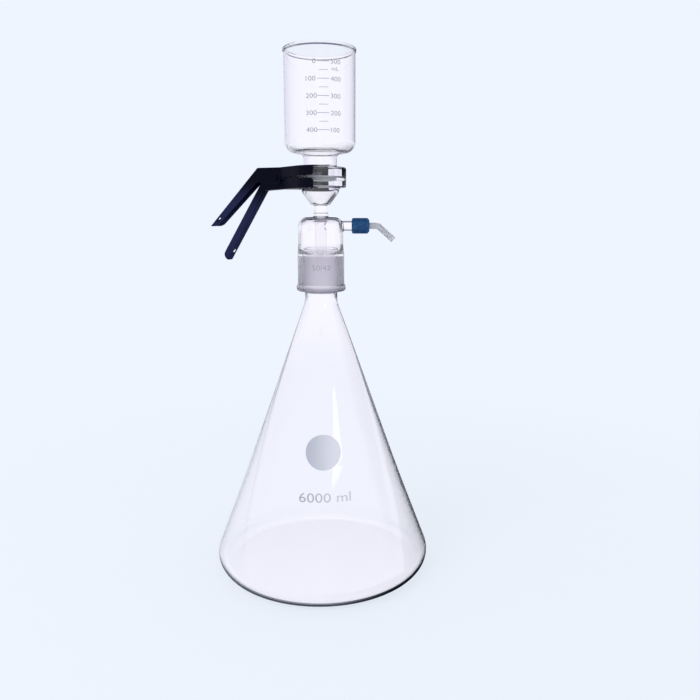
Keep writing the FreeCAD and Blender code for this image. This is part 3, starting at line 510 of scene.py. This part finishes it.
# %% Print the scale
barrel_radius = 0.0432
top_mark = funnel_rim - 0.0225
hundred = 0.01893
number_height, unit_height, unit_drop = 0.0054, 0.0045, 0.0078
unit_stretch, left_stretch, right_stretch = 1.2, 1.22, 1.18
long_bar, short_bar = (-0.0028, 0.0112, 0.00065), (-0.0010, 0.0098, 0.00055)
zero_left, left_numbers, right_numbers, unit_left = -0.0085, -0.0160, 0.0128, 0.0140


def around_barrel(x):
    """Distance round the barrel to the place x to the side: radius x asin(x / radius)."""
    return barrel_radius * math.asin(x / barrel_radius)


def scale_bar(ends, level):
    """A bar of the scale from its left and right ends and its height, at a level."""
    left, right, height = ends
    return bar(around_barrel(left), around_barrel(right), level, height)


drawings = [letters("mL", unit_height, around_barrel(unit_left), top_mark - unit_drop,
                    unit_stretch)]
for count in range(5):
    level = top_mark - hundred * count
    left = around_barrel(left_numbers if count else zero_left)
    drawings.append(scale_bar(long_bar, level))
    drawings.append(letters(str(100 * count), number_height, left, level, left_stretch))
    drawings.append(letters(str(500 - 100 * count), number_height,
                            around_barrel(right_numbers), level, right_stretch))
    if count < 4:
        drawings.append(scale_bar(short_bar, level - hundred / 2))
scale_ink = fired_enamel("scale print", -0.02, (0.30, 0.30, 0.33), 0.02, (0.36, 0.36, 0.40))
printed("funnel_scale", drawings, lambda up: np.full_like(up, barrel_radius), scale_ink)

# %% [markdown]
# ## Print on the flask and the socket
#
# The flask carries a round patch to write on and its capacity, and the head's
# socket the size of its joint. The patch is a circle on a wall that leans back,
# so it is a little lower than it is wide. Its colour is painted lighter on the
# right, painted light that stands for the light coming through from behind.

# %% Print the patch and the numbers
foot_level, foot_radius = 0.020, 0.1402
waist_level, waist_radius = 0.350, 0.0216
lean = math.atan2(foot_radius - waist_radius, waist_level - foot_level)


def cone_radius(up):
    """Outside radius of the flask's cone: a straight line from its foot to its waist."""
    return foot_radius - (up - foot_level) * math.tan(lean)


patch = disc(across=0.0010, up=0.1787, radius=0.0215, squash=math.cos(lean))
patch_ink = fired_enamel("patch print", -0.022, (0.45, 0.475, 0.555),
                         0.022, (0.75, 0.745, 0.835))
printed("round_patch", [patch], cone_radius, patch_ink)

capacity = letters("6000 ml", height=0.0108, left=-0.0290, middle=0.128, stretch=1.34)
number_ink = fired_enamel("number print", -0.03, (0.40, 0.40, 0.45), 0.03, (0.62, 0.62, 0.68))
printed("capacity_number", [capacity], cone_radius, number_ink)

socket_radius = 0.0294
joint_size = letters("50/42", height=0.0062, left=-0.0110, middle=0.3975, stretch=1.2)
joint_ink = fired_enamel("joint print", -0.01, (0.30, 0.30, 0.34), 0.01, (0.36, 0.35, 0.40))
printed("joint_number", [joint_size], lambda up: np.full_like(up, socket_radius), joint_ink)

# %% [markdown]
# ## How to light clear glass
#
# Glass has no colour of its own: it shows what stands round it. In a bright
# field, with everything pale, it disappears. So it is lit as glass usually is.
# Straight through the glass the background stays pale, and what the walls
# mirror differs by side: a pale room on the left, and dark flags on the right,
# which draw the dark edge lines. A softbox stands high on the right, and the
# flask mirrors it as one tall highlight.
#
# A ray that no glass has mirrored has a Glossy Depth of 0. A ray that went
# through two walls has crossed more than three surfaces, which its Ray Depth
# tells, and a ray that lights a matt surface has a Diffuse Depth above 0. The
# light on matt things stays plain and even. Real flags in the scene would do
# the same, but would also dim that light and show in other views.

# %% Choosing what each ray sees
pale = (0.855, 0.913, 1.0)


def tinted(strength):
    """The pale background colour at another strength."""
    return tuple(strength * part for part in pale)


def chosen(tree, base, *choices):
    """A colour picked by masks: each (mask, colour) covers what comes before it."""
    for mask, colour in choices:
        base = mixed(tree, mask, base, colour)
    return base


def ray_masks(tree):
    """Masks by the kind of ray: the camera's own, unmirrored, through two walls, and lighting."""
    path = add(tree, "ShaderNodeLightPath").outputs
    return (path["Is Camera Ray"],
            maths(tree, "LESS_THAN", path["Glossy Depth"], 0.5),
            maths(tree, "GREATER_THAN", path["Ray Depth"], 3.5),
            maths(tree, "GREATER_THAN", path["Diffuse Depth"], 0.5))


# %% [markdown]
# ## The floor
#
# White card, which keeps the object's soft shadow where the camera sees it
# directly. A fifth of its light there comes from the lamp and the room, and the
# rest is its own, so the shadow stays faint, and far off it is all its own, so
# that the card meets the room without a line.
#
# Mirrored in the glass, the card is pale on the left and dark on the right like
# the room, darker under the heel, where hardly any light gets in, and light
# grey in the distance. Seen through two walls it is pale, and painted a little
# brighter under the flask, painted light where the thick foot lies over it.

# %% Make the floor
reach, drop = 20.0, 0.0002
corners = [(side * reach, way * reach, -drop) for side, way in ((-1, -1), (1, -1), (1, 1), (-1, 1))]
floor_mesh = bpy.data.meshes.new("floor")
floor_mesh.from_pydata(corners, [], [(0, 1, 2, 3)])
floor = bpy.data.objects.new("floor", floor_mesh)
bpy.context.scene.collection.objects.link(floor)

card, tree, shader = finish_named("pale card", Roughness=1.0, Specular_IOR_Level=0.0)
feed(tree, pale, shader.inputs["Base Color"])
camera_ray, unmirrored, deep, lighting = ray_masks(tree)
place = coordinates(tree)
x, y = part_of(tree, place, 0), part_of(tree, place, 1)
away = length_of(tree, place)

# What the glass mirrors: the left and the right side, the distance, the heel and the front.
left = mixed(tree, step_between(tree, away, 2.4, 3.8), (0.70, 0.74, 0.82), (0.24, 0.25, 0.31))
right = mixed(tree, step_between(tree, away, 0.5, 1.5), (0.022, 0.027, 0.042), (0.15, 0.16, 0.20))
sides = mixed(tree, step_between(tree, x, -0.10, 0.16), left, right)
distance, distant_grey = step_between(tree, away, 3.0, 6.0), (0.66, 0.66, 0.74)
front = step_between(tree, y, -0.22, -0.45)
heel_place = step_between(tree, away, 0.150, 0.170, 1.0, 0.0)
heel = mixed(tree, step_between(tree, x, -0.02, 0.10), (0.29, 0.31, 0.39), (0.012, 0.016, 0.030))

# What shows through two walls: under the flask, round it, and far behind it.
# Painted light: under the flask the card is brighter than round it.
under, round_it, behind = (1.02, 1.055, 1.15), (0.885, 0.925, 1.01), (0.965, 0.992, 1.07)
through = chosen(tree, mixed(tree, step_between(tree, away, 0.120, 0.150), under, round_it),
                 (step_between(tree, away, 1.0, 2.5), behind))

look = chosen(tree, sides, (distance, distant_grey), (front, pale), (unmirrored, pale),
              (heel_place, heel), (deep, through), (camera_ray, pale))
glow = add(tree, "ShaderNodeEmission", {"Color": look})
lit_share = product(tree, camera_ray, step_between(tree, away, 0.3, 1.2, 0.2, 0.0))
share = product(tree, maths(tree, "SUBTRACT", 1.0, lighting),
                maths(tree, "SUBTRACT", 1.0, lit_share))
blend = add(tree, "ShaderNodeMixShader", {0: share, 1: shader.outputs[0], 2: glow.outputs[0]})
feed(tree, blend.outputs[0], tree.nodes["Material Output"].inputs["Surface"])
floor_mesh.materials.append(card)
print("floor", 2 * reach, "m square")

# %% [markdown]
# ## The room and the softbox
#
# The world is the room, drawn by direction: the left side is pale, the right
# side dark, and the skyline light grey all round, which keeps the outlines of
# the bell and the joint light. The softbox is the part of the sky between two
# heights and two sides. Its left edge leans with the height, because the
# flask's wall leans, and so the highlight starts as a point and widens
# downwards. Behind the object the sky darkens upwards, which gives the funnel's
# rim its line. Through two walls the sides of the sky are a little darker than
# its middle, which rounds the funnel.

# %% Draw the room by direction
world = bpy.data.worlds.new("studio")
bpy.context.scene.world = world
world.use_nodes = True
tree = world.node_tree
camera_ray, unmirrored, deep, lighting = ray_masks(tree)
way = add(tree, "ShaderNodeTexCoord").outputs["Generated"]
x, y, z = (part_of(tree, way, axis) for axis in range(3))

pale_side, dark_side = (0.70, 0.72, 0.82), (0.05, 0.055, 0.10)
room = mixed(tree, step_between(tree, x, -0.25, 0.12), pale_side, dark_side)
skyline, skyline_grey = step_between(tree, z, 0.02, 0.07, 1.0, 0.0), (0.68, 0.68, 0.76)
front = step_between(tree, y, 0.05, -0.30)
overhead = product(tree, step_between(tree, z, 0.25, 0.36), step_between(tree, y, 0.0, 0.15))
overhead_grey = (0.16, 0.16, 0.24)

# The softbox, by sideways = x / forwards: its left edge lies at slope x (z - its point's height).
point_height, edge_slope, least_forwards = 0.2247, 2.8, 0.05
forwards = maths(tree, "MAXIMUM", maths(tree, "MULTIPLY", y, -1.0), least_forwards)
sideways = maths(tree, "DIVIDE", x, forwards)
left_edge = maths(tree, "MULTIPLY", maths(tree, "SUBTRACT", z, point_height), edge_slope)
over_foot = step_between(tree, z, 0.300, 0.310)
under_top = step_between(tree, z, 0.395, 0.410, 1.0, 0.0)
past_left = step_between(tree, maths(tree, "SUBTRACT", sideways, left_edge), -0.02, 0.05)
before_right = step_between(tree, sideways, 0.69, 0.73, 1.0, 0.0)
softbox = product(tree, over_foot, under_top, past_left, before_right)
softbox_light = (3.9, 4.0, 4.1)

# What shows through two walls: the middle of the sky, and its sides.
off_middle = maths(tree, "ABSOLUTE", maths(tree, "SUBTRACT", x, 0.035))
bent = product(tree, step_between(tree, off_middle, 0.07, 0.30), step_between(tree, z, 0.03, 0.09))
middle_sky, side_sky = (0.965, 0.992, 1.07), (0.79, 0.81, 0.96)
through = mixed(tree, bent, middle_sky, side_sky)

even_light = (0.76, 0.76, 0.76)
look = chosen(tree, room, (skyline, skyline_grey), (front, tinted(0.95)), (softbox, softbox_light),
              (unmirrored, tinted(0.985)), (deep, through), (overhead, overhead_grey),
              (camera_ray, pale), (lighting, even_light))
feed(tree, look, tree.nodes["Background"].inputs["Color"])
print("world", world.name)

# %% [markdown]
# ## Soft lamp and camera
#
# One large lamp from the upper left front adds the last quarter of the light on
# matt surfaces, so that the levers and the cap have a lighter and a darker
# side. It is kept out of the reflections, where the drawn softbox does its
# work. The camera stands level with the top of the bell, 0.9 m in front of the
# axis, and looks down a little.

# %% Place the lamp and the camera
middle = [(low + high) / 2 for low, high in zip(cad_low, cad_high)]
lamp = bpy.data.lights.new("soft lamp", "AREA")
lamp.energy, lamp.shape, lamp.size = 15.0, "SQUARE", 1.2
light = bpy.data.objects.new("soft lamp", lamp)
bpy.context.scene.collection.objects.link(light)
to_left, to_front, lamp_height = 1.3, 1.2, 1.6
light.location = (-to_left, -to_front, lamp_height)
light.rotation_euler = (math.atan2(math.hypot(to_left, to_front), lamp_height - middle[2]), 0.0,
                        -math.atan2(to_left, to_front))
light.visible_glossy = light.visible_transmission = light.visible_camera = False

lens = bpy.data.cameras.new("camera")
lens.lens, lens.sensor_width, lens.clip_start = 35.71, 36.0, 0.01
camera = bpy.data.objects.new("camera", lens)
bpy.context.scene.collection.objects.link(camera)
look_down, look_right = 0.1879, 0.0415
camera.location = (0.0, -0.8861, 0.4577)
camera.rotation_euler = (math.pi / 2 - look_down, 0.0, -look_right)
bpy.context.scene.camera = camera
bpy.context.scene.view_settings.view_transform = "Standard"
print("lamp and camera placed")
